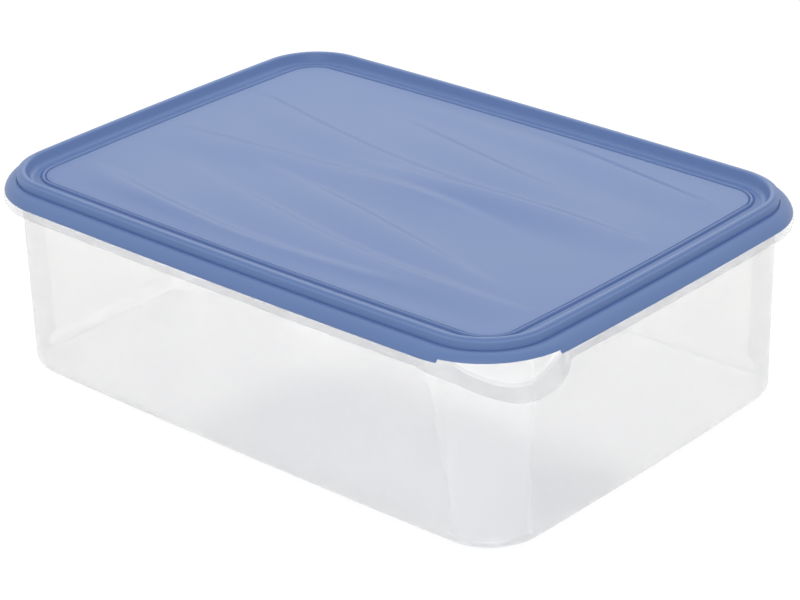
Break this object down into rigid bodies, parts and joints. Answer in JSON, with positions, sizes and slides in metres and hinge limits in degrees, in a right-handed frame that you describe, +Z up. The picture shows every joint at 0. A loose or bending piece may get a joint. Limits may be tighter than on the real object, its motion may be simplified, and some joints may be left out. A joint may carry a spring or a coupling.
{
  "type": "plastic food storage box with lid",
  "caption": "Flat rectangular see-through food storage box, empty and shut, with a rounded push-on lid and a finger scoop in one corner of its rim.",
  "frame": {"origin": "centre of the bottom face, on the table", "axes": "+Z up, X along the long sides, Y along the short sides; the finger scoop is in the corner towards +X and -Y"},
  "size_m": [0.33, 0.24, 0.101],
  "materials": {
    "clear_polypropylene": "gloss",
    "blue_polypropylene": "satin"
  },
  "bodies": {
    "root": {"tub": "clear_polypropylene", "lid": "blue_polypropylene"}
  },
  "joints": []
}
